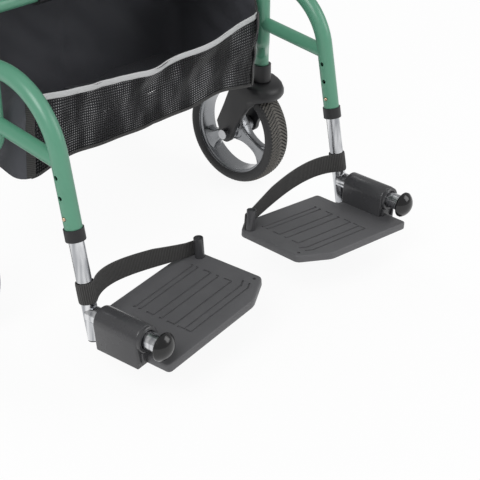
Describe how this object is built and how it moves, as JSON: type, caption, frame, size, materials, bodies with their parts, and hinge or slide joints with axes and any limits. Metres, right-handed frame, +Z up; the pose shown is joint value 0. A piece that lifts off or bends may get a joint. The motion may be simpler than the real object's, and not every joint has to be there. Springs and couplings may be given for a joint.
{
  "type": "rollator transport chair",
  "caption": "Folding rollator transport chair with padded seat and backrest, flip-up armrests, height-adjustable push handles, caster wheels and flip-up footrests.",
  "frame": {"origin": "on the floor, under the middle of the chair's outline", "axes": "+Z up, -Y the way the sitter faces, +X to the sitter's left"},
  "size_m": [0.742, 0.9083, 0.957],
  "materials": {
    "frame_green": "satin powder coat",
    "bright_tube": "bright anodised",
    "zinc_steel": "zinc plated",
    "black_plastic": "fine moulded grain",
    "gloss_cap": "smooth gloss",
    "plate_plastic": "matte moulded",
    "rim_grey": "satin moulded",
    "tyre_rubber": "matte",
    "grip_rubber": "ribbed matte",
    "webbing": "ribbed webbing",
    "bag_net": "open mesh",
    "bag_cloth": "woven",
    "seat_vinyl": "grained vinyl",
    "brass_button": "polished"
  },
  "bodies": {
    "main_frame": {"main_tube_right": "frame_green", "main_tube_left": "frame_green", "cross_tubes": "frame_green", "footrest_loops": "frame_green", "footrest_braces": "frame_green", "tube_collars": "black_plastic", "caster_housings": "black_plastic", "fold_hinges": "black_plastic", "post_brackets": "black_plastic", "bag_mesh": "bag_net", "bag_panels": "bag_cloth"},
    "rear_frame": {"rear_legs": "frame_green", "rear_cross_tube": "frame_green", "rear_forks": "black_plastic", "rear_bolts": "zinc_steel", "brake_cable_ends": "black_plastic"},
    "seat": {"seat_pan": "black_plastic", "seat_cushion": "seat_vinyl"},
    "backrest": {"backrest_bar": "bright_tube", "backrest_pad": "seat_vinyl"},
    "caster_right": {"front_fork_right": "black_plastic", "fork_steel_right": "zinc_steel"},
    "front_wheel_right": {"front_rim_right": "rim_grey", "front_tyre_right": "tyre_rubber"},
    "rear_wheel_right": {"rear_rim_right": "rim_grey", "rear_tyre_right": "tyre_rubber"},
    "brake_arm_right": {"brake_shoe_right": "black_plastic"},
    "footrest_right": {"hanger_right": "bright_tube", "hanger_caps_right": "gloss_cap", "heel_strap_right": "webbing"},
    "plate_right": {"footplate_right": "plate_plastic"},
    "catch_outer_right": {"snap_button_outer_right": "brass_button"},
    "catch_inner_right": {"snap_button_inner_right": "brass_button"},
    "handle_right": {"handle_tube_right": "bright_tube", "grip_right": "grip_rubber", "lever_bracket_right": "black_plastic"},
    "lever_right": {"brake_lever_right": "black_plastic"},
    "knob_right": {"clamp_knob_right": "black_plastic"},
    "armrest_right": {"armrest_arm_right": "frame_green", "armrest_pad_right": "seat_vinyl"},
    "caster_left": {"front_fork_left": "black_plastic", "fork_steel_left": "zinc_steel"},
    "front_wheel_left": {"front_rim_left": "rim_grey", "front_tyre_left": "tyre_rubber"},
    "rear_wheel_left": {"rear_rim_left": "rim_grey", "rear_tyre_left": "tyre_rubber"},
    "brake_arm_left": {"brake_shoe_left": "black_plastic"},
    "footrest_left": {"hanger_left": "bright_tube", "hanger_caps_left": "gloss_cap", "heel_strap_left": "webbing"},
    "plate_left": {"footplate_left": "plate_plastic"},
    "catch_outer_left": {"snap_button_outer_left": "brass_button"},
    "catch_inner_left": {"snap_button_inner_left": "brass_button"},
    "handle_left": {"handle_tube_left": "bright_tube", "grip_left": "grip_rubber", "lever_bracket_left": "black_plastic"},
    "lever_left": {"brake_lever_left": "black_plastic"},
    "knob_left": {"clamp_knob_left": "black_plastic"},
    "armrest_left": {"armrest_arm_left": "frame_green", "armrest_pad_left": "seat_vinyl"}
  },
  "joints": [
    {"name": "frame_fold", "type": "hinge", "parent": "main_frame", "child": "rear_frame", "pos_m": [0, 0.2, 0.495], "axis": [-1, 0, 0], "range_deg": [0, 20]},
    {"name": "seat_flip", "type": "hinge", "parent": "main_frame", "child": "seat", "pos_m": [0, -0.1115, 0.4845], "axis": [1, 0, 0], "range_deg": [0, 80]},
    {"name": "backrest_flip", "type": "hinge", "parent": "main_frame", "child": "backrest", "pos_m": [0, 0.18, 0.675], "axis": [1, 0, 0], "range_deg": [0, 95]},
    {"name": "caster_swivel_right", "type": "hinge", "parent": "main_frame", "child": "caster_right", "pos_m": [-0.325, -0.092, 0.20823], "axis": [0, 0, 1], "continuous": true},
    {"name": "front_wheel_spin_right", "type": "hinge", "parent": "caster_right", "child": "front_wheel_right", "pos_m": [-0.325, -0.039, 0.1015], "axis": [1, 0, 0], "continuous": true},
    {"name": "rear_wheel_spin_right", "type": "hinge", "parent": "rear_frame", "child": "rear_wheel_right", "pos_m": [-0.325, 0.353, 0.1015], "axis": [1, 0, 0], "continuous": true},
    {"name": "footrest_height_right", "type": "slide", "parent": "main_frame", "child": "footrest_right", "axis": [0, 0.181, 0.9835], "range_m": [0, 0.058], "deforming": ["snap_button_outer_right", "snap_button_inner_right"]},
    {"name": "footplate_flip_right", "type": "hinge", "parent": "footrest_right", "child": "plate_right", "pos_m": [-0.28, -0.313, 0.0994], "axis": [0.0523, -0.9986, 0], "range_deg": [0, 90], "deforming": ["heel_strap_right"]},
    {"name": "catch_press_outer_right", "type": "slide", "parent": "footrest_right", "child": "catch_outer_right", "axis": [1, 0, 0], "range_m": [0, 0.004], "stiffness_N_per_m": 800},
    {"name": "catch_press_inner_right", "type": "slide", "parent": "footrest_right", "child": "catch_inner_right", "axis": [-1, 0, 0], "range_m": [0, 0.004], "stiffness_N_per_m": 800},
    {"name": "handle_height_right", "type": "slide", "parent": "main_frame", "child": "handle_right", "axis": [0, 0, 1], "range_m": [0, 0.1]},
    {"name": "clamp_turn_right", "type": "hinge", "parent": "main_frame", "child": "knob_right", "pos_m": [-0.28, 0.18, 0.761], "axis": [1, 0, 0], "range_deg": [0, 360]},
    {"name": "brake_squeeze_right", "type": "hinge", "parent": "handle_right", "child": "lever_right", "pos_m": [-0.28, 0.243, 0.91], "axis": [1, 0, 0], "range_deg": [0, 12], "stiffness_Nm_per_rad": 1},
    {"name": "brake_shoe_swing_right", "type": "hinge", "parent": "rear_frame", "child": "brake_arm_right", "pos_m": [-0.325, 0.33527, 0.24643], "axis": [1, 0, 0], "range_deg": [-3, 0]},
    {"name": "armrest_flip_right", "type": "hinge", "parent": "main_frame", "child": "armrest_right", "pos_m": [-0.28, 0.128, 0.725], "axis": [-1, 0, 0], "range_deg": [0, 80]},
    {"name": "caster_swivel_left", "type": "hinge", "parent": "main_frame", "child": "caster_left", "pos_m": [0.325, -0.092, 0.20823], "axis": [0, 0, 1], "continuous": true},
    {"name": "front_wheel_spin_left", "type": "hinge", "parent": "caster_left", "child": "front_wheel_left", "pos_m": [0.325, -0.039, 0.1015], "axis": [1, 0, 0], "continuous": true},
    {"name": "rear_wheel_spin_left", "type": "hinge", "parent": "rear_frame", "child": "rear_wheel_left", "pos_m": [0.325, 0.353, 0.1015], "axis": [1, 0, 0], "continuous": true},
    {"name": "footrest_height_left", "type": "slide", "parent": "main_frame", "child": "footrest_left", "axis": [0, 0.181, 0.9835], "range_m": [0, 0.058], "deforming": ["snap_button_outer_left", "snap_button_inner_left"]},
    {"name": "footplate_flip_left", "type": "hinge", "parent": "footrest_left", "child": "plate_left", "pos_m": [0.28, -0.313, 0.0994], "axis": [0.0523, 0.9986, 0], "range_deg": [0, 90], "deforming": ["heel_strap_left"]},
    {"name": "catch_press_outer_left", "type": "slide", "parent": "footrest_left", "child": "catch_outer_left", "axis": [-1, 0, 0], "range_m": [0, 0.004], "stiffness_N_per_m": 800},
    {"name": "catch_press_inner_left", "type": "slide", "parent": "footrest_left", "child": "catch_inner_left", "axis": [1, 0, 0], "range_m": [0, 0.004], "stiffness_N_per_m": 800},
    {"name": "handle_height_left", "type": "slide", "parent": "main_frame", "child": "handle_left", "axis": [0, 0, 1], "range_m": [0, 0.1]},
    {"name": "clamp_turn_left", "type": "hinge", "parent": "main_frame", "child": "knob_left", "pos_m": [0.28, 0.18, 0.761], "axis": [1, 0, 0], "range_deg": [0, 360]},
    {"name": "brake_squeeze_left", "type": "hinge", "parent": "handle_left", "child": "lever_left", "pos_m": [0.28, 0.243, 0.91], "axis": [1, 0, 0], "range_deg": [0, 12], "stiffness_Nm_per_rad": 1},
    {"name": "brake_shoe_swing_left", "type": "hinge", "parent": "rear_frame", "child": "brake_arm_left", "pos_m": [0.325, 0.33527, 0.24643], "axis": [1, 0, 0], "range_deg": [-3, 0]},
    {"name": "armrest_flip_left", "type": "hinge", "parent": "main_frame", "child": "armrest_left", "pos_m": [0.28, 0.128, 0.725], "axis": [-1, 0, 0], "range_deg": [0, 80]}
  ],
  "couplings": [
    {"joint": "brake_shoe_swing_right", "follows": "brake_squeeze_right", "ratio": -0.25},
    {"joint": "brake_shoe_swing_left", "follows": "brake_squeeze_left", "ratio": -0.25}
  ]
}
